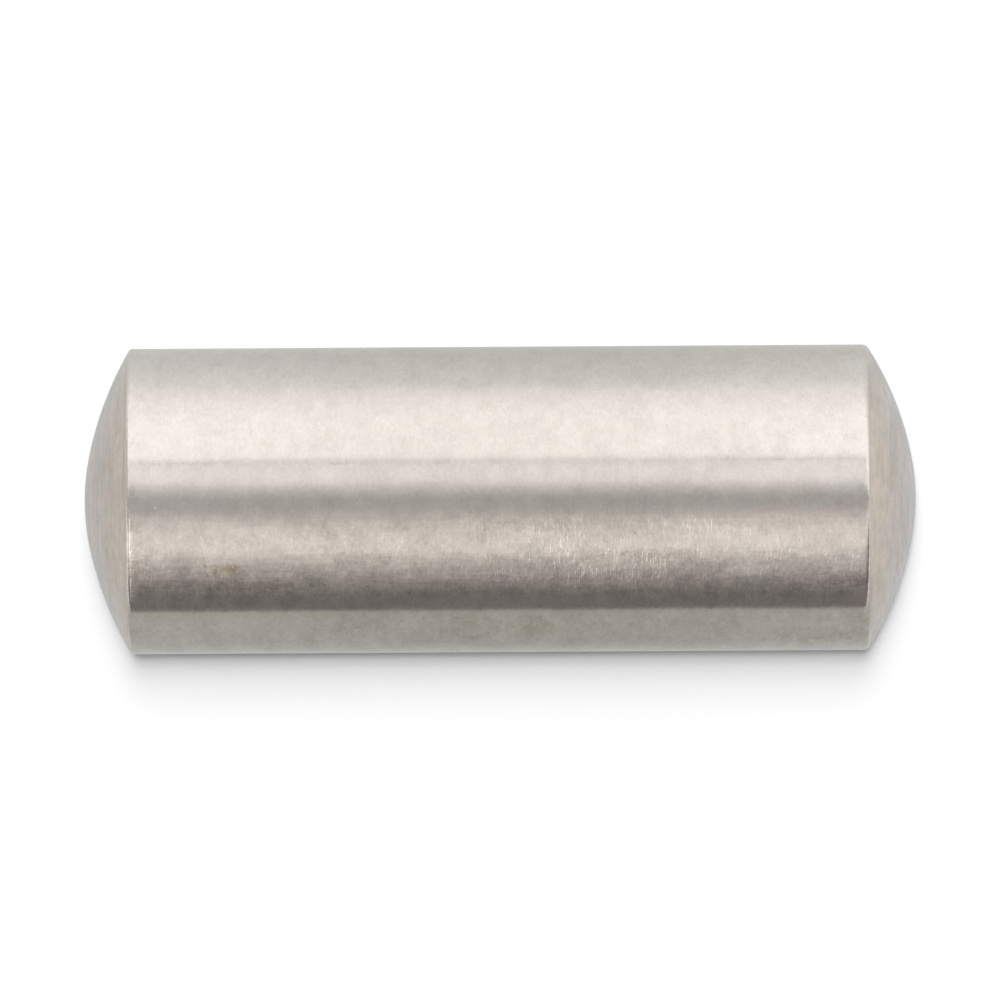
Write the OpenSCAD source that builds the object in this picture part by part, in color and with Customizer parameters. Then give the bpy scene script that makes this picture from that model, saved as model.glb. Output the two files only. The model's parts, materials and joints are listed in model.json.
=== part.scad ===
// Parallel dowel pin of ground steel with a crowned end on each side.
// The pin lies along X, and the middle of its overall length is at the origin.

/* [Shank] */
// Diameter of the ground shank
shank_d = 5; // [4:0.5:6]
// Length of the shank from rim to rim, as if the rims were sharp
shank_l = 12.05; // [8:0.05:40]

/* [Left crown] */
// Radius of the flank, which rises from the rim
left_flank_r = 5.8; // [5:0.1:10]
// Radius of the nose, which closes the crown on the axis
left_nose_r = 3.8; // [2.5:0.1:4.9]
// Angle from the axis at which the nose runs into the flank
left_nose_angle = 13; // [4:0.5:16]
// Rounding of the rim
left_rim_r = 0.08; // [0.02:0.01:0.3]

/* [Right crown] */
// Radius of the flank, which rises from the rim
right_flank_r = 5; // [4.5:0.1:10]
// Radius of the nose, which closes the crown on the axis
right_nose_r = 3.3; // [2.5:0.1:4.4]
// Angle from the axis at which the nose runs into the flank
right_nose_angle = 8; // [4:0.5:16]
// Rounding of the rim
right_rim_r = 0.13; // [0.02:0.01:0.3]

/* [Hidden] */
$fn = 180;
shank_r = shank_d / 2;
left_crown = [left_flank_r, left_nose_r, left_nose_angle, left_rim_r];
right_crown = [right_flank_r, right_nose_r, right_nose_angle, right_rim_r];
// The overall length runs between the two tips, and its middle is at the origin
tip_shift = (crown_h(left_crown) - crown_h(right_crown)) / 2;

// The parts of a crown's list, by name
function flank_r(crown) = crown[0];
function nose_r(crown) = crown[1];
function nose_angle(crown) = crown[2];
function rim_r(crown) = crown[3];

// Distance of the flank's centre from the axis, on the far side of it
function flank_offset(crown) = (flank_r(crown) - nose_r(crown)) * sin(nose_angle(crown));

// Height of a circle of radius r over its own centre, at a distance x to its side
function circle_h(r, x) = sqrt(r * r - x * x);

// Height of the flank over its own centre, at the sharp rim
function flank_h(crown) = circle_h(flank_r(crown), shank_r + flank_offset(crown));

// Height of the tip over the sharp rim
function crown_h(crown) =
    (flank_r(crown) - nose_r(crown)) * cos(nose_angle(crown)) + nose_r(crown) - flank_h(crown);

// Height of the rim rounding's centre over the sharp rim, which is a little below it
function rim_h(crown) =
    circle_h(flank_r(crown) - rim_r(crown), shank_r - rim_r(crown) + flank_offset(crown)) - flank_h(crown);

// Angle from the axis at which the flank runs into the rim rounding
function rim_angle(crown) =
    asin((shank_r - rim_r(crown) + flank_offset(crown)) / (flank_r(crown) - rim_r(crown)));

// What lies right of the upright line through the origin, well past a disc of radius r
module right_side(r) {
    translate([0, -2 * r])
        square([2 * r, 4 * r]);
}

module half_disc(r) {
    intersection() {
        circle(r);
        right_side(r);
    }
}

// A half disc with a wedge behind its straight edge, which laps over what it is joined to
module lapped_half_disc(r) {
    intersection() {
        circle(r);
        polygon([[0, r], [2 * r, 2 * r], [2 * r, -2 * r], [0, -r], [-r / 2, 0]]);
    }
}

// Half section of a crown above the centre of its rim rounding, with the axis as its left edge.
// Rounding, flank and nose are tangent arcs, cut along the lines where they meet. The rounding and the
// nose lap over the flank there, inside the pin.
module crown_section(crown) {
    span = rim_angle(crown) - nose_angle(crown);
    translate([shank_r - rim_r(crown), 0])
        intersection() {
            translate([rim_r(crown) - shank_r, 0])
                square(shank_d);
            rotate(-rim_angle(crown)) {
                lapped_half_disc(rim_r(crown));
                translate([0, rim_r(crown) - flank_r(crown)]) {
                    difference() {
                        rotate(span)
                            half_disc(flank_r(crown));
                        right_side(flank_r(crown));
                    }
                    rotate(span)
                        translate([0, flank_r(crown) - nose_r(crown)])
                            mirror([1, 0])
                                lapped_half_disc(nose_r(crown));
                }
            }
        }
}

// Half section of one end, from the middle of the shank to the tip
module end_section(crown) {
    shank_end = shank_l / 2 + rim_h(crown);
    square([shank_r, shank_end]);
    translate([0, shank_end])
        crown_section(crown);
}

module dowel_pin() {
    color("#b8aea4")
        translate([tip_shift, 0, 0])
            rotate([0, 90, 0])
                rotate_extrude() {
                    end_section(right_crown);
                    mirror([0, 1])
                        end_section(left_crown);
                }
}

dowel_pin();
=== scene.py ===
"""Looks of a dowel pin of ground steel: its turned form, its two finishes, and the studio round it."""

import json
import logging
import math
from collections.abc import Iterator, Mapping, Sequence
from dataclasses import dataclass
from enum import Enum
from typing import Any, Union

import bpy
import numpy as np
from mathutils import Matrix, Vector


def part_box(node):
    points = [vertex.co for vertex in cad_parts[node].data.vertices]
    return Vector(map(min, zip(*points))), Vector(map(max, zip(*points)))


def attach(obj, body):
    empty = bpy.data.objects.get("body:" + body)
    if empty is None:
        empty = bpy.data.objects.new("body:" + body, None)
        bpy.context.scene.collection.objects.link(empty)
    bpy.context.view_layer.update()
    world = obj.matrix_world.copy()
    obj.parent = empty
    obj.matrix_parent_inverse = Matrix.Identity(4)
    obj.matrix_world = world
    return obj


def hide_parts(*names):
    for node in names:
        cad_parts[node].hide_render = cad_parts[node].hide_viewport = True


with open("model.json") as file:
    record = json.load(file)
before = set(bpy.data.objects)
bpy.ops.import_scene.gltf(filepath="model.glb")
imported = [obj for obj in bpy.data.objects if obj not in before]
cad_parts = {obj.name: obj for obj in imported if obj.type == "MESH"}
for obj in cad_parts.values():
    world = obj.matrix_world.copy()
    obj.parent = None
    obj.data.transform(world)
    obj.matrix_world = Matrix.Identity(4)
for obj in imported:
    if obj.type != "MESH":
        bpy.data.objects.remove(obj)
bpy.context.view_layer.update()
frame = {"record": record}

LOG = logging.getLogger("dowel_pin")
MM = 0.001
MICRON = 1e-6
NODE = "dowel_pin"
BODY = "root"
MOUNT = "shank"

Rgb = tuple[float, float, float]
Sizes = tuple[float, float, float]
Plan = tuple[tuple[float, float], ...]
Key = Union[str, int]
Value = Union["Wire", float, Sequence[float]]

WHITE: Rgb = (1.0, 1.0, 1.0)


class Side(Enum):
    """The two ends of the pin, by the sign of their X."""

    LEFT = -1
    RIGHT = 1


class Wire:
    """A shader socket that takes part in Python expressions, which add the nodes they need."""

    def __init__(self, graph: "Graph", socket: bpy.types.NodeSocket | None) -> None:
        """Wraps one output socket of a node in the graph, or none for a node that has none."""
        self.graph = graph
        self.socket = socket

    def _math(self, operation: str, *values: Value) -> "Wire":
        """Adds a Math node.

        Args:
            operation: The node's operation.
            values: Its operands in order.

        Returns:
            The node's result.
        """
        return self.graph.add("ShaderNodeMath", {"operation": operation}, dict(enumerate(values)))

    def __add__(self, other: Value) -> "Wire":
        """Sum of the two."""
        return self._math("ADD", self, other)

    def __radd__(self, other: Value) -> "Wire":
        """Sum of the two, with the plain value first."""
        return self._math("ADD", other, self)

    def __sub__(self, other: Value) -> "Wire":
        """Difference of the two."""
        return self._math("SUBTRACT", self, other)

    def __rsub__(self, other: Value) -> "Wire":
        """Difference of the two, with the plain value first."""
        return self._math("SUBTRACT", other, self)

    def __mul__(self, other: Value) -> "Wire":
        """Product of the two."""
        return self._math("MULTIPLY", self, other)

    def __rmul__(self, other: Value) -> "Wire":
        """Product of the two, with the plain value first."""
        return self._math("MULTIPLY", other, self)

    def __truediv__(self, other: Value) -> "Wire":
        """Quotient of the two."""
        return self._math("DIVIDE", self, other)

    def __rtruediv__(self, other: Value) -> "Wire":
        """Quotient of the two, with the plain value first."""
        return self._math("DIVIDE", other, self)

    def __pow__(self, power: Value) -> "Wire":
        """This value to a power."""
        return self._math("POWER", self, power)

    def __abs__(self) -> "Wire":
        """This value without its sign."""
        return self._math("ABSOLUTE", self)

    def angle_from(self, other: "Wire") -> "Wire":
        """Angle in radians whose tangent is this value over the other."""
        return self._math("ARCTAN2", self, other)

    def step(self, start: float, end: float, low: float = 0.0, high: float = 1.0) -> "Wire":
        """Smooth step.

        Args:
            start: Value at which the step starts.
            end: Value at which it ends. It may be the smaller one.
            low: Result at and before the start.
            high: Result at and past the end.

        Returns:
            The stepped value.
        """
        return self.graph.add(
            "ShaderNodeMapRange",
            {"interpolation_type": "SMOOTHSTEP"},
            {"Value": self, "From Min": start, "From Max": end, "To Min": low, "To Max": high},
        )


class Graph:
    """A node tree that is filled through one method."""

    def __init__(self, tree: bpy.types.NodeTree) -> None:
        """Takes the tree and empties it."""
        self.tree = tree
        tree.nodes.clear()

    def add(
        self,
        kind: str,
        settings: Mapping[str, Any] | None = None,
        sockets: Mapping[Key, Value] | None = None,
        output: Key = 0,
    ) -> Wire:
        """Adds any node.

        Args:
            kind: The node's type.
            settings: Its properties, which are set first. "stops" fills a ramp.
            sockets: Plain values or wires for its inputs, by identifier, name or number.
            output: The output that is wanted, given the same way.

        Returns:
            That output, wrapped.
        """
        node = self.tree.nodes.new(kind)
        for name, setting in (settings or {}).items():
            if name == "stops":
                self._fill_ramp(node.color_ramp, setting)
            else:
                setattr(node, name, setting)
        for key, value in (sockets or {}).items():
            socket = self._find(node.inputs, key)
            if isinstance(value, Wire):
                self.tree.links.new(value.socket, socket)
            else:
                socket.default_value = value
        return Wire(self, self._find(node.outputs, output) if len(node.outputs) else None)

    def outputs(
        self, kind: str, names: Sequence[str], sockets: Mapping[Key, Value] | None = None
    ) -> list[Wire]:
        """Adds a node of which several outputs are wanted.

        Args:
            kind: The node's type.
            names: The outputs, by identifier or name.
            sockets: Plain values or wires for its inputs.

        Returns:
            Those outputs, wrapped, in the same order.
        """
        node = self.add(kind, sockets=sockets).socket.node
        return [Wire(self, self._find(node.outputs, name)) for name in names]

    @staticmethod
    def _find(sockets: bpy.types.bpy_prop_collection, key: Key) -> bpy.types.NodeSocket:
        """Finds a socket by its number, or else by its identifier, or else by its name.

        Args:
            sockets: The inputs or outputs of a node.
            key: What is looked for.

        Returns:
            The socket.
        """
        if isinstance(key, int):
            return sockets[key]
        for socket in sockets:
            if socket.identifier == key:
                return socket
        return sockets[key]

    @staticmethod
    def _fill_ramp(ramp: bpy.types.ColorRamp, stops: Sequence[tuple[float, float]]) -> None:
        """Gives a ramp its stops.

        Args:
            ramp: The ramp.
            stops: Place and grey level of each stop.
        """
        while len(ramp.elements) < len(stops):
            ramp.elements.new(1.0)
        for element, (place, level) in zip(ramp.elements, stops):
            element.position = place
            element.color = (level, level, level, 1.0)

    def split(self, vector: Wire) -> list[Wire]:
        """The three parts of a vector."""
        return self.outputs("ShaderNodeSeparateXYZ", ("X", "Y", "Z"), {"Vector": vector})

    def stretch(self, vector: Wire, sizes: Sizes) -> Wire:
        """A vector divided by a size on each axis, so that a pattern of unit size gets those sizes."""
        factors = tuple(1.0 / size for size in sizes)
        return self.add("ShaderNodeVectorMath", {"operation": "MULTIPLY"}, {0: vector, 1: factors})

    def blend(self, share: Value, first: Value, second: Value) -> Wire:
        """Colour that runs from the first to the second as the share goes from 0 to 1."""
        return self.add(
            "ShaderNodeMix",
            {"data_type": "RGBA"},
            {"Factor_Float": share, "A_Color": self._rgba(first), "B_Color": self._rgba(second)},
            "Result_Color",
        )

    def tint(self, colour: Value, level: Value) -> Wire:
        """A colour made lighter or darker by a level, or tinted by another colour."""
        return self.add(
            "ShaderNodeMix",
            {"data_type": "RGBA", "blend_type": "MULTIPLY"},
            {"Factor_Float": 1.0, "A_Color": self._rgba(colour), "B_Color": self._rgba(level)},
            "Result_Color",
        )

    @staticmethod
    def _rgba(colour: Value) -> Value:
        """A plain colour with its alpha, or a wire as it is."""
        return colour if isinstance(colour, Wire) else (*colour, 1.0)


def new_material(name: str) -> tuple[bpy.types.Material, Graph, Wire]:
    """Starts a material.

    Args:
        name: Its name.

    Returns:
        The material, its graph, and the place on the object in millimetres.
    """
    material = bpy.data.materials.new(name)
    material.use_nodes = True
    graph = Graph(material.node_tree)
    place = graph.add("ShaderNodeTexCoord", output="Object")
    return material, graph, graph.stretch(place, (MM, MM, MM))


@dataclass(frozen=True)
class Fade:
    """A smooth change of a result over a value.

    Args:
        start: Value at which the change starts.
        end: Value at which it ends. It may be the smaller one.
        low: Result at and before the start.
        high: Result at and past the end.
    """

    start: float
    end: float
    low: float = 0.0
    high: float = 1.0

    def of(self, value: Wire) -> Wire:
        """The result for a value."""
        return value.step(self.start, self.end, self.low, self.high)


@dataclass(frozen=True)
class Band:
    """A zone between two soft edges.

    Args:
        start: Value at which the first edge starts.
        full_start: Value from which the zone has its full strength.
        full_end: Value up to which it has that.
        end: Value at which the second edge ends.
    """

    start: float
    full_start: float
    full_end: float
    end: float

    def of(self, value: Wire) -> Wire:
        """1 in the zone and 0 beside it."""
        return value.step(self.start, self.full_start) * value.step(self.end, self.full_end)


@dataclass(frozen=True)
class Pattern:
    """Cloudy noise that is fixed to the steel.

    Args:
        sizes: Size of its largest features along X, Y and Z, in millimetres.
        detail: Number of finer layers.
        rough: Strength of each finer layer against the one before.
        shift: Place in the noise, which tells apart patterns of like size.
    """

    sizes: Sizes
    detail: float
    rough: float
    shift: float

    def on(self, graph: Graph, place: Wire) -> Wire:
        """The noise.

        Args:
            graph: The material's nodes.
            place: Place on the pin in millimetres.

        Returns:
            A value round zero, mostly within one half of it.
        """
        cells = graph.stretch(place, self.sizes)
        cloud = graph.add(
            "ShaderNodeTexNoise",
            {"noise_dimensions": "4D"},
            {"Vector": cells, "W": self.shift, "Scale": 1.0, "Detail": self.detail, "Roughness": self.rough},
        )
        return cloud - 0.5


@dataclass(frozen=True)
class Pits:
    """Small dark pits, few and far between.

    Args:
        spacing: Distance from one possible pit to the next, in millimetres.
        reach: Radius of a pit, as a share of the spacing.
        share: Share of the possible pits that are there.
        darkness: Share of the light that a pit takes.
        floor: Part of its radius within which a pit is darkest.
        sure: Part of the pits that are as dark as that. The rest are fainter.
    """

    spacing: float
    reach: float
    share: float
    darkness: float
    floor: float = 0.4
    sure: float = 0.9

    def on(self, graph: Graph, place: Wire) -> Wire:
        """The pits.

        Args:
            graph: The material's nodes.
            place: Place on the pin in millimetres.

        Returns:
            Share of the light that they take, which is 0 beside them.
        """
        cells = graph.stretch(place, (self.spacing,) * 3)
        near, colour = graph.outputs(
            "ShaderNodeTexVoronoi", ("Distance", "Color"), {"Vector": cells, "Scale": 1.0}
        )
        draw, _, _ = graph.split(colour)
        shape = near.step(self.reach, self.reach * self.floor)
        return shape * draw.step(self.share, self.share * self.sure) * self.darkness


@dataclass(frozen=True)
class Steel:
    """What the two finishes of the steel share.

    Args:
        tint: Reflectance of the metal, seen face on.
    """

    tint: Rgb = (0.75, 0.694, 0.641)

    def surface(self, graph: Graph, colour: Wire, roughness: Wire, microns: Wire) -> None:
        """Ends a material with the metal's shader.

        Args:
            graph: The material's nodes.
            colour: Reflectance.
            roughness: Roughness.
            microns: Height of the surface in thousandths of a millimetre.
        """
        bump = graph.add("ShaderNodeBump", sockets={"Strength": 1.0, "Distance": MICRON, "Height": microns})
        shader = graph.add(
            "ShaderNodeBsdfPrincipled",
            sockets={"Base Color": colour, "Metallic": 1.0, "Roughness": roughness, "Normal": bump},
        )
        graph.add("ShaderNodeOutputMaterial", sockets={"Surface": shader})


@dataclass(frozen=True)
class Mark:
    """A small tinted mark on the upper side of the shank, in millimetres: a stain, a darker patch, or a
    painted highlight or painted shade.

    Args:
        x: Place of its middle along the pin.
        y: Place of its middle across the pin.
        width: Half its size along the pin.
        depth: Half its size across the pin.
        tint: Colour that it lays over the steel.
        edge: Share of its size at which it has its full strength.
    """

    x: float
    y: float
    width: float
    depth: float
    tint: Rgb
    edge: float = 0.0

    def shape(self, x: Wire, y: Wire, unevenness: Wire) -> Wire:
        """Strength of the mark.

        Args:
            x: Place along the pin in millimetres.
            y: Place across the pin in millimetres.
            unevenness: A value round zero that makes its outline ragged.

        Returns:
            1 in its middle and 0 beside it.
        """
        along = (x - self.x) / self.width
        across = (y - self.y) / self.depth
        return (along * along + across * across + unevenness).step(1.0, self.edge)


@dataclass(frozen=True)
class Marks:
    """The single marks on the upper side of the shank, by kind.

    Args:
        stain: Yellowish stain near the left end, with its darker spots.
        darker_patches: Patches that darken the steel a little, along the edges of the pale and dark bands.
        painted_sheens: Painted highlight and painted shade, long stretches that are a little lighter or
            darker.
        painted_seam_lines: Painted reflection, thin dark lines along the reflected seam between two bright
            bands.
        painted_nick_lights: Painted shade and painted highlights, dark and bright, at small notches in the
            two rims.
        painted_glints: Painted glints, small bright spots brighter than the steel can reflect.
    """

    stain: tuple[Mark, ...] = (
        Mark(-4.52, -1.12, 0.34, 0.14, (0.95, 0.91, 0.82), 0.3),
        Mark(-4.40, -1.10, 0.12, 0.06, (0.92, 0.87, 0.74), 0.3),
        Mark(-4.62, -1.15, 0.07, 0.05, (0.92, 0.85, 0.77), 0.3),
        Mark(-4.78, -1.06, 0.06, 0.05, (0.90, 0.86, 0.80), 0.3),
    )
    darker_patches: tuple[Mark, ...] = (
        Mark(-5.84, -1.22, 0.18, 0.30, (0.94, 0.91, 0.89), 0.3),
        Mark(-4.00, -1.38, 0.90, 0.10, (0.90, 0.87, 0.86), 0.3),
        Mark(-2.30, -0.95, 0.60, 0.12, (0.93, 0.91, 0.91), 0.3),
        Mark(2.60, -0.88, 0.70, 0.10, (0.92, 0.90, 0.89), 0.3),
        Mark(5.60, -1.28, 0.55, 0.16, (0.90, 0.87, 0.86), 0.3),
        Mark(-2.67, -2.10, 0.40, 0.12, (0.955, 0.95, 0.94), 0.3),
        Mark(0.50, -2.11, 0.45, 0.12, (0.955, 0.95, 0.93), 0.3),
        Mark(5.20, -2.24, 0.90, 0.15, (0.955, 0.95, 0.945), 0.3),
    )
    # Painted highlight and painted shade: stretches of the reflection made lighter or darker in the colour.
    painted_sheens: tuple[Mark, ...] = (
        Mark(-0.90, 1.65, 1.00, 0.05, (1.025, 1.02, 1.02), 0.3),
        Mark(4.50, 0.72, 1.60, 0.12, (0.975, 0.97, 0.968)),
        Mark(-4.60, -0.40, 1.50, 0.18, (1.05, 1.05, 1.05)),
        Mark(4.30, -0.46, 1.90, 0.30, (1.12, 1.11, 1.11)),
        Mark(4.30, -0.84, 1.90, 0.20, (1.05, 1.05, 1.05)),
        Mark(4.60, -1.16, 1.60, 0.12, (1.06, 1.05, 1.05)),
        Mark(0.20, -1.30, 1.80, 0.20, (1.11, 1.11, 1.11)),
        Mark(0.00, -1.66, 1.90, 0.16, (1.06, 1.06, 1.06)),
        Mark(-4.10, -2.00, 1.80, 0.16, (1.04, 1.04, 1.04)),
        Mark(-0.20, -2.05, 2.20, 0.18, (0.965, 0.96, 0.95)),
        Mark(-5.50, -2.12, 0.50, 0.16, (1.03, 1.03, 1.02), 0.3),
    )
    # Painted reflection: dark lines where the seam between two lights is reflected.
    painted_seam_lines: tuple[Mark, ...] = (
        Mark(-5.20, 0.615, 0.80, 0.018, (0.94, 0.93, 0.92)),
        Mark(-2.55, 0.600, 0.30, 0.025, (0.93, 0.91, 0.90)),
        Mark(4.70, 0.625, 1.30, 0.018, (0.93, 0.92, 0.90)),
    )
    # Painted shade and painted highlights at small notches in the rims.
    painted_nick_lights: tuple[Mark, ...] = (
        Mark(-5.97, 0.20, 0.050, 0.13, (0.90, 0.87, 0.84)),
        Mark(-6.00, -0.30, 0.060, 0.22, (0.88, 0.86, 0.85)),
        Mark(-5.99, -0.56, 0.035, 0.09, (1.10, 1.10, 1.10)),
        Mark(5.90, 0.20, 0.050, 0.12, (0.92, 0.89, 0.86)),
        Mark(5.92, -0.72, 0.035, 0.06, (1.12, 1.12, 1.12)),
    )
    # Painted glints: tints above 1 make these spots brighter than the steel reflects.
    painted_glints: tuple[Mark, ...] = (
        Mark(-5.58, -0.10, 0.018, 0.018, (1.8, 1.8, 1.8), 0.3),
        Mark(5.67, -1.38, 0.020, 0.020, (2.4, 2.3, 2.2), 0.3),
    )

    def laid_over(self, graph: Graph, colour: Wire, place: Sequence[Wire], unevenness: Wire) -> Wire:
        """Lays all the marks over a colour.

        Args:
            graph: The material's nodes.
            colour: Colour of the steel.
            place: Place along and across the pin, in millimetres.
            unevenness: A value round zero that makes their outlines ragged.

        Returns:
            The marked colour.
        """
        x, y = place
        for mark in (*self.stain, *self.darker_patches, *self.painted_sheens, *self.painted_seam_lines, *self.painted_nick_lights, *self.painted_glints):
            colour = graph.blend(mark.shape(x, y, unevenness), colour, graph.tint(colour, mark.tint))
        return colour


@dataclass(frozen=True)
class Zones:
    """Zones of the shank's upper side, each a value from 0 to 1.

    Args:
        worn: Broad zone in the middle, which is the most worn.
        deep: Pale band in the lower half of that zone.
        low: Side of the pin below it.
    """

    worn: Wire
    deep: Wire
    low: Wire


@dataclass(frozen=True)
class Contrast:
    """Strength of a pattern on the shank.

    Args:
        everywhere: Its strength all over the shank.
        worn: What the worn zone adds to that.
        deep: What the deep zone adds.
        low: What the low zone adds.
    """

    everywhere: float = 0.0
    worn: float = 0.0
    deep: float = 0.0
    low: float = 0.0

    def over(self, zones: Zones) -> Wire:
        """The strength at each place."""
        return zones.low * self.low + zones.worn * self.worn + zones.deep * self.deep + self.everywhere


@dataclass(frozen=True)
class GroundFinish:
    """Shank of the pin, ground between wheels: smooth, with a faint waviness and short round streaks.

    Places are in millimetres and heights in microns. A pattern's height, contrast or tint follows it.

    Args:
        steel: The metal.
        roughness: Mean roughness.
        roughness_change: How much the cloud adds to it.
        worn: The worn zone, across the pin.
        deep: The deep zone.
        low: The low zone.
        upper: Height on the pin over which the single marks come in.
        wave: Long waves all over the shank.
        swell: Waves of the worn zone.
        streak: Short round streaks from the wheel.
        scratch: Finer ones.
        lines_along: Strength of streaks and scratches along the pin.
        lines_across: Their strength across the pin.
        lines_zones: Their strength in the zones.
        lines_bias: What is added to the patches that they come in, along the pin.
        lines_patches: Their strength by the patches.
        nick: Unevenness of the rim's rounding.
        rim: Share of the rim by the distance from the shank's middle.
        shank_middle: Place of that middle along the pin.
        patch: Broad patches of tone.
        cloud: Smaller clouds of tone.
        grain: Finest grain of tone.
        pits: Pits all over the shank.
        end_tint: Tint of the steel at the end_reach from the pin's middle.
        film: Thin film that warms the steel.
        film_share: Share of the film by its noise.
        film_zone: Share of the film by the low zone.
        raggedness: Shares of cloud, grain and streak in the outlines of the marks.
        marks: The single marks.
    """

    steel: Steel = Steel()
    roughness: float = 0.13
    roughness_change: float = 0.06
    worn: Band = Band(-0.1, -0.4, -1.5, -1.7)
    deep: Band = Band(-0.8, -1.2, -1.78, -1.85)
    low: Fade = Fade(-1.7, -1.95)
    upper: Fade = Fade(0.0, 0.1)
    wave: Pattern = Pattern((1.2, 0.7, 0.7), 3.0, 0.4, 0.0)
    wave_height: float = 3.5
    swell: Pattern = Pattern((2.4, 0.40, 0.40), 3.0, 0.6, 2.0)
    swell_height: float = 8.5
    streak: Pattern = Pattern((0.075, 0.13, 0.13), 2.0, 0.45, 3.0)
    streak_height: float = 3.2
    scratch: Pattern = Pattern((0.018, 0.15, 0.15), 0.0, 0.5, 4.0)
    scratch_height: float = 1.25
    lines_along: tuple[Fade, Fade] = (Fade(-2.5, 1.8, 0.6, 1.34), Fade(3.0, 4.2, 1.0, 0.76))
    lines_across: tuple[Fade, Fade] = (Fade(-0.5, -0.95, 0.8, 1.0), Fade(-1.6, -1.1, 0.62, 1.0))
    lines_zones: Contrast = Contrast(0.4, worn=0.75)
    lines_bias: Fade = Fade(-3.5, 2.0, -0.04, 0.06)
    lines_patches: Fade = Fade(-0.15, 0.15, 0.1, 1.0)
    nick: Pattern = Pattern((0.05, 0.10, 0.10), 2.0, 0.6, 15.0)
    nick_height: float = 2.5
    rim: Fade = Fade(5.917, 5.977)
    shank_middle: float = -0.035
    patch: Pattern = Pattern((0.9, 0.5, 1.0), 4.0, 0.8, 7.0)
    patch_contrast: Contrast = Contrast(deep=0.10, low=0.17)
    cloud: Pattern = Pattern((0.36, 0.42, 0.90), 4.0, 0.9, 9.0)
    cloud_contrast: Contrast = Contrast(0.5, worn=0.55, deep=0.45, low=0.35)
    grain: Pattern = Pattern((0.040, 0.08, 0.15), 1.0, 0.9, 5.0)
    grain_contrast: Contrast = Contrast(0.18, worn=0.10, deep=0.08)
    pits: Pits = Pits(0.24, 0.08, 0.42, 0.25)
    end_tint: Rgb = (1.05, 1.055, 1.07)
    end_reach: float = 6.0
    film: Pattern = Pattern((0.5, 0.3, 0.3), 5.0, 0.85, 19.0)
    film_tint: Rgb = (0.80, 0.74, 0.66)
    film_share: Fade = Fade(0.0, 0.35)
    film_zone: Fade = Fade(0.0, 1.0, 0.35, 1.0)
    raggedness: tuple[float, float, float] = (4.0, 2.0, 2.0)
    marks: Marks = Marks()

    def material(self) -> bpy.types.Material:
        """Builds the finish.

        Returns:
            The material.
        """
        material, graph, place = new_material("ground_steel")
        x, y, z = graph.split(place)
        zones = Zones(self.worn.of(y), self.deep.of(y), self.low.of(y))
        cloud, grain, patch, streak = (
            pattern.on(graph, place) for pattern in (self.cloud, self.grain, self.patch, self.streak)
        )
        level = 1.0 + cloud * self.cloud_contrast.over(zones) + patch * self.patch_contrast.over(zones)
        level = level + grain * self.grain_contrast.over(zones) - self.pits.on(graph, place)
        base = graph.tint(self._filmed(graph, place, x, zones), self.steel.tint)
        colour = graph.tint(base, level)
        by_cloud, by_grain, by_streak = self.raggedness
        ragged = cloud * by_cloud + grain * by_grain + streak * by_streak
        marked = self.marks.laid_over(graph, colour, (x, y), ragged)
        colour = graph.blend(self.upper.of(z), colour, marked)
        height = self._relief(graph, place, zones, patch, streak)
        self.steel.surface(graph, colour, self.roughness + cloud * self.roughness_change, height)
        return material

    def _filmed(self, graph: Graph, place: Wire, x: Wire, zones: Zones) -> Wire:
        """Tint of the steel, which is paler towards the ends and warm under a film.

        Args:
            graph: The material's nodes.
            place: Place on the pin in millimetres.
            x: Its part along the pin.
            zones: Zones of the shank.

        Returns:
            The tint.
        """
        ends = graph.blend((x / self.end_reach) ** 2, WHITE, self.end_tint)
        film = self.film_share.of(self.film.on(graph, place)) * self.film_zone.of(zones.low)
        return graph.blend(film, ends, self.film_tint)

    def _relief(self, graph: Graph, place: Wire, zones: Zones, patch: Wire, streak: Wire) -> Wire:
        """Height of the surface.

        Args:
            graph: The material's nodes.
            place: Place on the pin in millimetres.
            zones: Zones of the shank.
            patch: Patches that the streaks come in.
            streak: The streaks.

        Returns:
            The height in microns.
        """
        x, y, _ = graph.split(place)
        wave, swell, scratch, nick = (
            pattern.on(graph, place) for pattern in (self.wave, self.swell, self.scratch, self.nick)
        )
        lines = streak * self.streak_height + scratch * self.scratch_height
        lines = lines * self.lines_patches.of(patch + self.lines_bias.of(x)) * self.lines_zones.over(zones)
        for fade in self.lines_along:
            lines = lines * fade.of(x)
        for fade in self.lines_across:
            lines = lines * fade.of(y)
        rim = self.rim.of(abs(x - self.shank_middle))
        waves = wave * self.wave_height + swell * zones.worn * self.swell_height
        return waves + lines + nick * rim * self.nick_height


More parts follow.
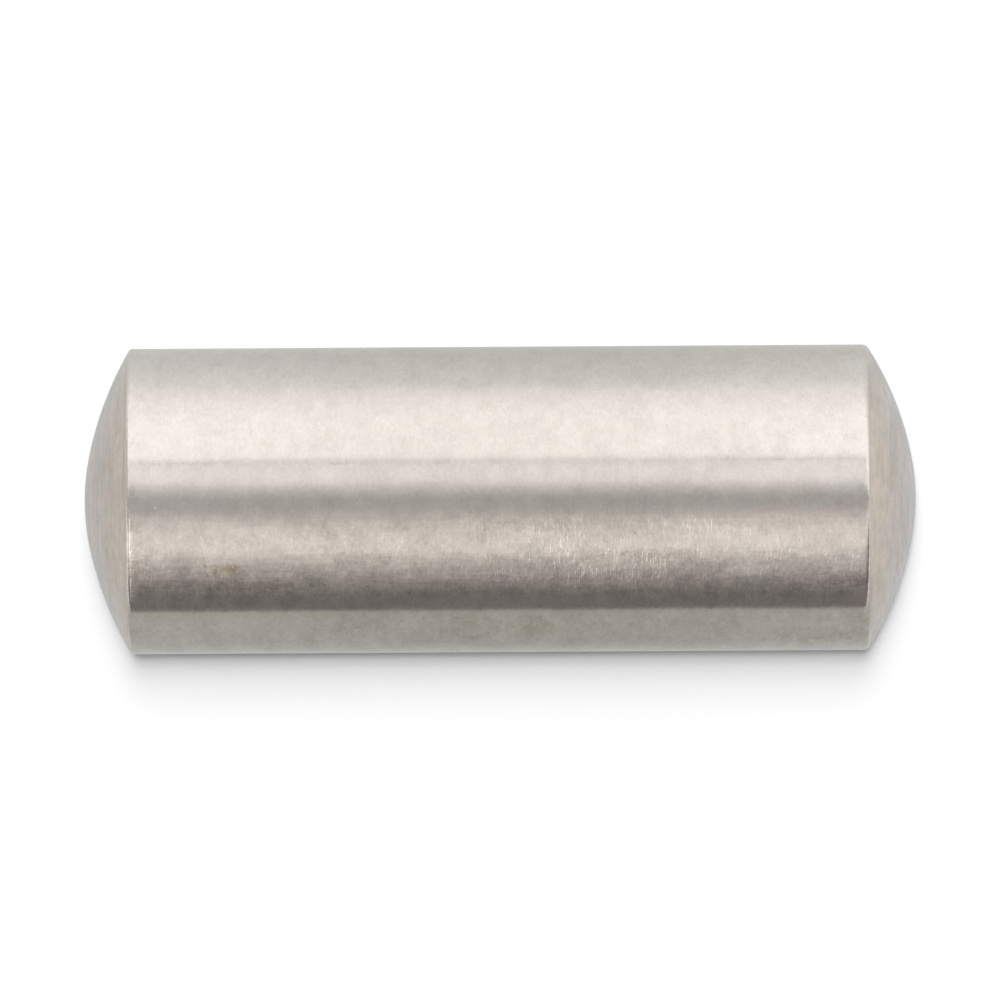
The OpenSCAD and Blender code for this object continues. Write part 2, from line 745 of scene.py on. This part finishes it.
@dataclass(frozen=True)
class TurnedFinish:
    """Crowns of the pin, turned on a lathe: satin, with fine rings round the axis.

    Places are in millimetres and heights in microns. A pattern's height and contrast follow it.

    Args:
        steel: The metal.
        roughness: Mean roughness.
        roughness_change: How much the cloud adds to it.
        ring: Fine rings, which fade in and out along their way.
        groove: Coarser rings.
        ring_line: Where a ring stands out as a line, by its noise.
        groove_line: Where a groove lets it, by its noise.
        line_contrast: Brightness of such a line.
        cloud: Clouds of tone.
        level: Mean brightness of the crowns against the shank.
        outward_shading: Painted shading, a change of that brightness by the distance from the axis, lighter
            towards the rim.
        pits: Pits of the crowns.
        stain: Patches of the film on the crowns.
        stain_groove: How much the grooves add to them.
        stain_inward: How much a millimetre towards the axis adds to them.
        film: Change from the warm tint to the cool one over the stain.
        warm_radius: Distance from the axis at which the two tints are even.
        rim_radius: Distance from the axis of the dark line along the rim.
        rim_width: Half the width of that line.
        rim_tint: Tint of that line.
        rim_bias: Mean strength of that line, which the cloud changes.
    """

    steel: Steel = Steel()
    roughness: float = 0.34
    roughness_change: float = 0.10
    ring: Pattern = Pattern((0.045, 1.0, 1.0), 2.5, 0.75, 11.0)
    ring_height: float = 1.2
    ring_contrast: float = 0.45
    groove: Pattern = Pattern((0.11, 1.0, 1.0), 2.5, 0.75, 17.0)
    groove_contrast: float = 0.26
    ring_line: Fade = Fade(0.1, 0.25)
    groove_line: Fade = Fade(0.0, 0.2)
    line_contrast: float = 0.14
    cloud: Pattern = Pattern((0.3, 0.22, 0.22), 4.0, 0.7, 13.0)
    cloud_contrast: float = 0.55
    level: float = 1.01
    outward_shading: Fade = Fade(1.5, 2.3, 0.985, 1.025)
    pits: Pits = Pits(0.22, 0.09, 0.55, 0.35)
    stain: Pattern = Pattern((0.3, 0.22, 0.22), 3.0, 0.7, 21.0)
    stain_groove: float = 0.25
    stain_inward: float = 0.6
    film: Fade = Fade(-0.2, 0.2)
    warm_tint: Rgb = (1.005, 0.998, 0.968)
    cool_tint: Rgb = (0.98, 1.0, 1.01)
    warm_radius: float = 2.0
    rim_radius: float = 2.44
    rim_width: float = 0.05
    rim_tint: Rgb = (0.90, 0.85, 0.79)
    rim_bias: float = 0.5

    def material(self) -> bpy.types.Material:
        """Builds the finish.

        Returns:
            The material.
        """
        material, graph, place = new_material("turned_steel")
        _, y, z = graph.split(place)
        radius = (y * y + z * z) ** 0.5
        rings, grooves, cloud, stain = (
            pattern.on(graph, place) for pattern in (self.ring, self.groove, self.cloud, self.stain)
        )
        lines = self.ring_line.of(rings) * self.groove_line.of(grooves)
        level = self.level + cloud * self.cloud_contrast + rings * self.ring_contrast
        level = level + grooves * self.groove_contrast + lines * self.line_contrast
        # Painted shading: the crowns are lighter towards the rim and darker towards the tip.
        level = level * self.outward_shading.of(radius) - self.pits.on(graph, place)
        stain = stain + grooves * self.stain_groove + (self.warm_radius - radius) * self.stain_inward
        film = graph.blend(self.film.of(stain), self.warm_tint, self.cool_tint)
        rim = abs(radius - self.rim_radius).step(self.rim_width, 0.0) * (cloud + self.rim_bias)
        base = graph.blend(rim, self.steel.tint, self._darkened())
        colour = graph.tint(graph.tint(base, film), level)
        roughness = self.roughness + cloud * self.roughness_change
        self.steel.surface(graph, colour, roughness, rings * self.ring_height)
        return material

    def _darkened(self) -> Rgb:
        """Tint of the steel in the dark line along the rim."""
        return tuple(part * tint for part, tint in zip(self.steel.tint, self.rim_tint))


@dataclass(frozen=True)
class Crown:
    """One crowned end: the rim's rounding, the flank and the nose, as three tangent arcs.

    Args:
        side: The end that it closes.
        flank_r: Radius of the flank.
        nose_r: Radius of the nose.
        nose_angle: Angle from the axis at which the nose runs into the flank, in radians.
        rim_r: Radius of the rim's rounding.
        rim_steps: Number of rings on the rounding.
        flank_steps: Number of rings on the flank.
        nose_steps: Number of rings on the nose.
    """

    side: Side
    flank_r: float
    nose_r: float
    nose_angle: float
    rim_r: float
    rim_steps: int = 10
    flank_steps: int = 34
    nose_steps: int = 10

    def rings(self, tip: float, shank_r: float) -> Iterator[tuple[float, float]]:
        """Runs along the crown from the tip to the shank.

        Args:
            tip: Place of the tip along X.
            shank_r: Radius of the shank.

        Yields:
            Place along X and radius of each ring, the tip itself left out.
        """
        for depth, radius in self._outline(shank_r):
            yield tip - self.side.value * depth, radius

    def _outline(self, shank_r: float) -> Iterator[tuple[float, float]]:
        """Works out the three arcs.

        Args:
            shank_r: Radius of the shank.

        Yields:
            Depth below the tip and radius of each ring.
        """
        gap = self.flank_r - self.nose_r
        offset = gap * math.sin(self.nose_angle)
        flank_depth = self.nose_r + gap * math.cos(self.nose_angle)
        rim_angle = math.asin((shank_r - self.rim_r + offset) / (self.flank_r - self.rim_r))
        rim_depth = flank_depth - (self.flank_r - self.rim_r) * math.cos(rim_angle)
        for angle in self._angles(0.0, self.nose_angle, self.nose_steps):
            yield self.nose_r * (1.0 - math.cos(angle)), self.nose_r * math.sin(angle)
        for angle in self._angles(self.nose_angle, rim_angle, self.flank_steps):
            yield flank_depth - self.flank_r * math.cos(angle), self.flank_r * math.sin(angle) - offset
        for angle in self._angles(rim_angle, math.pi / 2, self.rim_steps):
            yield rim_depth - self.rim_r * math.cos(angle), shank_r - self.rim_r * (1.0 - math.sin(angle))

    @staticmethod
    def _angles(start: float, end: float, steps: int) -> np.ndarray:
        """Even steps from one angle to another, the first angle left out."""
        return np.linspace(start, end, steps + 1)[1:]

    def turned_rings(self) -> int:
        """Number of rings on the nose and the flank, which have the turned finish."""
        return self.nose_steps + self.flank_steps


@dataclass
class DowelPin:
    """The pin: a fine mesh turned about X, which stands for the solid of the same name.

    Args:
        low: Lowest corner of the solid's box.
        high: Highest corner of it.
        shank_r: Radius of the shank.
        left: Crown of the left end.
        right: Crown of the right end.
        shank_steps: Number of strips from one rim to the other.
        turns: Number of points on each ring.
        ground: Finish of the shank and the rims.
        turned: Finish of the crowns.
    """

    low: Vector
    high: Vector
    shank_r: float
    left: Crown = Crown(Side.LEFT, 5.8 * MM, 3.8 * MM, math.radians(13.0), 0.08 * MM)
    right: Crown = Crown(Side.RIGHT, 5.0 * MM, 3.3 * MM, math.radians(8.0), 0.13 * MM)
    shank_steps: int = 110
    turns: int = 400
    ground: GroundFinish = GroundFinish()
    turned: TurnedFinish = TurnedFinish()

    def rings(self) -> list[tuple[float, float]]:
        """Runs along the pin from the left tip to the right one.

        Returns:
            Place along X and radius of every ring.
        """
        left = list(self.left.rings(self.low.x, self.shank_r))
        right = list(self.right.rings(self.high.x, self.shank_r))
        wall = np.linspace(left[-1][0], right[-1][0], self.shank_steps + 1)[1:-1]
        return [*left, *((float(x), self.shank_r) for x in wall), *reversed(right)]

    def build(self) -> bpy.types.Object:
        """Makes the mesh and dresses it.

        Returns:
            The piece, which rides on the pin's body.
        """
        rings = self.rings()
        mesh = bpy.data.meshes.new("steel_pin")
        mesh.from_pydata(self._points(rings), [], self._faces(len(rings)))
        mesh.polygons.foreach_set("use_smooth", [True] * len(mesh.polygons))
        mesh.materials.append(self.ground.material())
        mesh.materials.append(self.turned.material())
        mesh.polygons.foreach_set("material_index", self._finishes(len(rings)))
        mesh.update()
        piece = bpy.data.objects.new("steel_pin", mesh)
        bpy.context.scene.collection.objects.link(piece)
        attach(piece, BODY)
        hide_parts(NODE)
        return piece

    def _points(self, rings: Sequence[tuple[float, float]]) -> list[tuple[float, float, float]]:
        """Points of the mesh.

        Args:
            rings: Place along X and radius of every ring.

        Returns:
            The points of one ring after the other, and then the left and the right tip.
        """
        angles = np.arange(self.turns) * (2 * math.pi / self.turns)
        x, r = (np.array(column)[:, None] for column in zip(*rings))
        points = np.stack([x + 0 * angles, r * np.cos(angles), r * np.sin(angles)], axis=-1)
        return [*map(tuple, points.reshape(-1, 3)), (self.low.x, 0.0, 0.0), (self.high.x, 0.0, 0.0)]

    def _faces(self, count: int) -> list[tuple[int, ...]]:
        """Faces from the left tip to the right one, strip by strip, all seen from outside.

        Args:
            count: Number of rings.

        Returns:
            The numbers of each face's points.
        """
        turns = self.turns
        left_tip, right_tip = count * turns, count * turns + 1
        following = [(i + 1) % turns for i in range(turns)]
        faces: list[tuple[int, ...]] = [(left_tip, following[i], i) for i in range(turns)]
        for ring in range(count - 1):
            a, b = ring * turns, (ring + 1) * turns
            faces += [(a + i, a + following[i], b + following[i], b + i) for i in range(turns)]
        last = (count - 1) * turns
        faces += [(right_tip, last + i, last + following[i]) for i in range(turns)]
        return faces

    def _finishes(self, count: int) -> list[int]:
        """Number of the finish on each face, 0 for ground and 1 for turned.

        Args:
            count: Number of rings.

        Returns:
            The numbers, in the order of the faces.
        """
        strips = np.zeros(count + 1, int)
        strips[: self.left.turned_rings()] = 1
        strips[-self.right.turned_rings():] = 1
        return np.repeat(strips, self.turns).tolist()


@dataclass(frozen=True)
class Rays:
    """What kind of ray asks for light, as values from 0 to 1.

    Args:
        seen: Whether it comes from the camera, or through glass.
        glossy: Whether it bounced off gloss.
        scattered: Whether it bounced off a plain surface on its way.
    """

    seen: Wire
    glossy: Wire
    scattered: Wire

    @classmethod
    def of(cls, graph: Graph) -> "Rays":
        """Reads them in the nodes of a material or a world."""
        camera, through, glossy, depth = graph.outputs(
            "ShaderNodeLightPath", ("Is Camera Ray", "Is Transmission Ray", "Is Glossy Ray", "Diffuse Depth")
        )
        return cls(camera + through, glossy, depth.step(0.0, 1.0))


@dataclass(frozen=True)
class Dome:
    """Light that comes from round the pin: a plan of soft boxes and shades across it.

    Angles are across the pin, from straight up, in degrees, positive towards +Y.

    Args:
        plan: Brightness by the angle.
        left_end: Left ends of the boxes, by the direction's part along X.
        left_level: Brightness past them.
        left_lamp: Further light there from a low lamp on the -Y side.
        lamp_band: Angles that this lamp spans.
        glow: Further light from a small low box on the -Y side.
        glow_band: Angles that this box spans.
        glow_sides: Its sides, by the direction's part along X.
        warm: Tint of all that lies on the -Y side.
        warm_edge: Angles over which that tint ends.
        diffuse_share: Share of the dome that lights plain surfaces, beside the lamps.
    """

    plan: Plan = (
        (-90, 0.18), (-76, 0.18), (-66, 0.26), (-57, 0.40), (-46, 0.58), (-40, 0.76), (-35, 0.82),
        (-26, 0.78), (-14, 0.59), (-6, 0.46), (1, 0.44), (7, 0.60), (11, 0.77), (14, 0.93),
        (19, 0.98), (26, 0.945), (29.7, 0.80), (32.0, 1.12), (36, 1.16), (66, 1.16), (78, 1.07), (90, 0.95),
    )
    left_end: Fade = Fade(-0.62, -0.8)
    left_level: float = 0.55
    left_lamp: float = 0.45
    lamp_band: Band = Band(-85, -70, -35, -20)
    glow: float = 0.7
    glow_band: Band = Band(-86, -54, -22, -4)
    glow_sides: Band = Band(-0.05, -0.18, -0.26, -0.34)
    warm: Rgb = (1.0, 0.965, 0.945)
    warm_edge: Fade = Fade(-12, -4)
    diffuse_share: float = 0.06

    def build(self) -> bpy.types.World:
        """Makes the world.

        Returns:
            The world, already set on the scene.
        """
        world = bpy.data.worlds.new("studio")
        bpy.context.scene.world = world
        world.use_nodes = True
        graph = Graph(world.node_tree)
        rays = Rays.of(graph)
        shown = graph.blend(rays.seen, self._studio(graph), WHITE)
        strength = 1.0 - rays.scattered * (1.0 - self.diffuse_share)
        background = graph.add("ShaderNodeBackground", sockets={"Color": shown, "Strength": strength})
        graph.add("ShaderNodeOutputWorld", sockets={"Surface": background})
        return world

    def _studio(self, graph: Graph) -> Wire:
        """Light that the steel sees in each direction.

        Args:
            graph: The world's nodes.

        Returns:
            The light's colour.
        """
        x, y, z = graph.split(graph.add("ShaderNodeTexCoord", output="Generated"))
        degrees = y.angle_from(z) * math.degrees(1.0)
        stops = [(self._place(angle), level) for angle, level in self.plan]
        boxes = graph.add("ShaderNodeValToRGB", {"stops": stops}, {"Fac": self._place(degrees)})
        left = self.lamp_band.of(degrees) * self.left_lamp + self.left_level
        level = graph.blend(self.left_end.of(x), boxes, left)
        glow = self.glow_band.of(degrees) * self.glow_sides.of(x) * self.glow
        return graph.tint(graph.blend(self.warm_edge.of(degrees), self.warm, WHITE), level + glow)

    def _place(self, degrees: Value) -> Value:
        """Place in the plan's ramp, from 0 to 1, of an angle across the pin."""
        return degrees / 180 + 0.5


@dataclass(frozen=True)
class Table:
    """Plain pale floor under the pin, which the steel sees shaded.

    Places in the plan and the fades are in millimetres.

    Args:
        level: Height of the floor.
        size: Radius of the floor.
        turns: Number of corners on its edge.
        albedo: Reflectance of the card for plain light.
        lift: Light that the camera sees besides, which lifts the card to white.
        plan: Brightness that the steel sees, by the place across the pin.
        plan_span: Distance from the pin at which half of the plan's ramp is used.
        middle_x: Place along the pin of the darkest part.
        middle: Change of the brightness with the distance from there.
        near_tint: Tint on the -Y side.
        far_tint: Tint on the +Y side.
        tint_edge: Change from the first tint to the second, across the pin.
        side_shade: Colour far to the left and right.
        side_fade: Change of its brightness across the pin.
        side_edge: Distance along the pin over which it comes in.
        end_cool: Colour beside a crown's rim.
        end_warm: Colour further out.
        end_edge: Distance along the pin over which the first turns into the second.
        end_levels: Changes of their brightness along the pin.
        end_reach: Distance along the pin over which they come in.
        end_band: Where they are, across the pin.
    """

    level: float
    size: float = 300 * MM
    turns: int = 96
    albedo: float = 0.9
    lift: float = 0.19
    plan: Plan = (
        (-110.0, 0.19), (-100.0, 0.44), (-5.5, 0.445), (-2.5, 0.575),
        (2.5, 0.615), (5.0, 0.655), (9.3, 0.745), (19.0, 0.81), (35.0, 0.86), (100.0, 0.92),
    )
    plan_span: float = 15.0
    middle_x: float = 1.0
    middle: Fade = Fade(0.0, 9.0, 0.97, 1.03)
    near_tint: Rgb = (0.98, 1.0, 0.955)
    far_tint: Rgb = (0.975, 1.0, 0.99)
    tint_edge: Fade = Fade(-6.5, -3.5)
    side_shade: Rgb = (0.86, 0.85, 0.84)
    side_fade: Fade = Fade(-50.0, -15.0, 0.35, 1.0)
    side_edge: Fade = Fade(15.0, 23.0)
    end_cool: Rgb = (0.63, 0.66, 0.70)
    end_warm: Rgb = (0.605, 0.585, 0.572)
    end_edge: Fade = Fade(7.0, 10.0)
    end_levels: tuple[Fade, Fade] = (Fade(-1.0, 1.0, 1.06, 1.10), Fade(8.0, 14.0, 0.945, 1.05))
    end_reach: Fade = Fade(6.7, 7.6)
    end_band: Band = Band(5.0, 3.6, -3.3, -4.3)

    def build(self) -> bpy.types.Object:
        """Makes the floor.

        Returns:
            The floor.
        """
        mesh = bpy.data.meshes.new("floor")
        angles = np.arange(self.turns) * (2 * math.pi / self.turns)
        rim = [(self.size * math.cos(angle), self.size * math.sin(angle), self.level) for angle in angles]
        mesh.from_pydata(rim, [], [tuple(range(self.turns))])
        mesh.materials.append(self._material())
        floor = bpy.data.objects.new("floor", mesh)
        bpy.context.scene.collection.objects.link(floor)
        return floor

    def _material(self) -> bpy.types.Material:
        """Pale card, which the camera sees as white and the steel sees shaded towards the -Y side.

        Returns:
            The material.
        """
        material, graph, place = new_material("floor")
        rays = Rays.of(graph)
        card = graph.add("ShaderNodeBsdfDiffuse", sockets={"Color": (self.albedo,) * 3 + (1.0,)})
        glow = graph.add("ShaderNodeEmission", sockets={"Strength": rays.seen * self.lift})
        plain = graph.add("ShaderNodeAddShader", sockets={0: card, 1: glow})
        shade = self._shade(graph, place)
        mirrored = graph.add(
            "ShaderNodeEmission", sockets={"Color": shade, "Strength": 1.0 - rays.scattered}
        )
        mixed = graph.add("ShaderNodeMixShader", sockets={0: rays.glossy, 1: plain, 2: mirrored})
        graph.add("ShaderNodeOutputMaterial", sockets={"Surface": mixed})
        return material

    def _shade(self, graph: Graph, place: Wire) -> Wire:
        """Colour that the steel sees on the floor.

        Args:
            graph: The material's nodes.
            place: Place on the floor in millimetres.

        Returns:
            The colour.
        """
        x, y, _ = graph.split(place)
        stops = [(self._place(away), level) for away, level in self.plan]
        levels = graph.add("ShaderNodeValToRGB", {"stops": stops}, {"Fac": self._place(y)})
        tint = graph.blend(self.tint_edge.of(y), self.near_tint, self.far_tint)
        shade = graph.tint(graph.tint(tint, levels), self.middle.of(abs(x - self.middle_x)))
        side = graph.tint(self.side_shade, self.side_fade.of(y))
        shade = graph.blend(self.side_edge.of(abs(x)), shade, side)
        ends = graph.blend(self.end_edge.of(abs(x)), self.end_cool, self.end_warm)
        for fade in self.end_levels:
            ends = graph.tint(ends, fade.of(x))
        return graph.blend(self.end_reach.of(abs(x)) * self.end_band.of(y), shade, ends)

    def _place(self, away: Value) -> Value:
        """Place in the plan's ramp, from 0 to 1, of a distance towards +Y in millimetres."""
        return away / (abs(away) + self.plan_span) * 0.5 + 0.5


@dataclass(frozen=True)
class Lamp:
    """A lamp that only throws the pin's soft shadow on the floor.

    Args:
        name: Name of the lamp.
        tilt: Angle from straight up towards +Y, in degrees.
        width: Angle that it spans, in degrees.
        strength: Its light on the floor, in watts for each square metre.
    """

    name: str
    tilt: float
    width: float
    strength: float

    def build(self) -> bpy.types.Object:
        """Makes the lamp.

        Returns:
            The lamp.
        """
        light = bpy.data.lights.new(self.name, "SUN")
        light.energy = self.strength
        light.angle = math.radians(self.width)
        lamp = bpy.data.objects.new(self.name, light)
        lamp.rotation_euler = (math.radians(-self.tilt), 0.0, 0.0)
        lamp.visible_glossy = False
        bpy.context.scene.collection.objects.link(lamp)
        return lamp


@dataclass(frozen=True)
class Viewpoint:
    """Camera straight above the pin, as in the photograph.

    Args:
        scale: Pixels for each millimetre in the plane of the axis.
        picture: Pixels along each side of the picture.
        sensor: Width of the camera's sensor, in millimetres.
        distance: Distance to the axis.
        clip_ratio: Ratio of the far clip to the distance, and of the distance to the near clip.
        yaw: Lean of the camera towards +X, in degrees.
        roll: Turn of the camera, in degrees, which lifts the pin's right end in the picture.
        rise: How far the pin stands above the middle of the picture, in pixels.
        shift: How far the camera looks to the right of the pin's middle, in pixels.
    """

    scale: float = 61.08
    picture: int = 1000
    sensor: float = 36.0
    distance: float = 360 * MM
    clip_ratio: float = 10.0
    yaw: float = 0.6
    roll: float = 0.355
    rise: float = 0.6
    shift: float = -0.2

    def build(self) -> bpy.types.Object:
        """Makes the camera and sets it on the scene.

        Returns:
            The camera.
        """
        data = bpy.data.cameras.new("camera")
        width = self.picture / self.scale * MM
        data.sensor_width = self.sensor
        data.lens = self.sensor * self.distance / width
        data.clip_start = self.distance / self.clip_ratio
        data.clip_end = self.distance * self.clip_ratio
        camera = bpy.data.objects.new("camera", data)
        yaw, roll = math.radians(self.yaw), math.radians(self.roll)
        back = Vector((math.sin(yaw), 0.0, math.cos(yaw)))
        up = Vector((math.sin(roll), math.cos(roll), 0.0))
        right = up.cross(back).normalized()
        turn = Matrix((right, back.cross(right), back)).transposed()
        target = (self.shift * turn.col[0] - self.rise * turn.col[1]) * (MM / self.scale)
        camera.matrix_world = Matrix.Translation(target + back * self.distance) @ turn.to_4x4()
        bpy.context.scene.collection.objects.link(camera)
        bpy.context.scene.camera = camera
        return camera


@dataclass
class Studio:
    """Everything round the pin: camera, dome of light, floor and shadow lamps.

    Args:
        floor_level: Height of the floor.
        viewpoint: The camera.
        dome: The light from round the pin.
        lamps: The lamps of the shadow.
    """

    floor_level: float
    viewpoint: Viewpoint = Viewpoint()
    dome: Dome = Dome()
    lamps: tuple[Lamp, ...] = (
        Lamp("overhead_heart", 1.5, 3.2, 0.95),
        Lamp("overhead_near", 4.2, 5.4, 0.72),
        Lamp("overhead_soft", 8.0, 9.0, 0.51),
        Lamp("overhead_wide", 13.5, 13.0, 0.37),
        Lamp("overhead_far", 20.0, 18.0, 0.30),
    )

    def build(self) -> list[bpy.types.ID]:
        """Makes the studio.

        Returns:
            The camera, the world, the floor and the lamps.
        """
        made = [self.viewpoint.build(), self.dome.build(), Table(self.floor_level).build()]
        made += [lamp.build() for lamp in self.lamps]
        bpy.context.scene.view_settings.view_transform = "Standard"
        return made


def main() -> None:
    """Builds the pin and its studio in order."""
    logging.basicConfig(level=logging.INFO, format="%(name)s: %(message)s")
    low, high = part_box(NODE)
    shank = next(mount for mount in frame["record"]["mounts"] if mount["name"] == MOUNT)
    pin = DowelPin(low, high, shank["dims"]["r_mm"] * MM).build()
    LOG.info("%s: %d faces", pin.name, len(pin.data.polygons))
    for made in Studio(low.z).build():
        LOG.info("studio: %s", made.name)


if __name__ == "__main__":
    main()
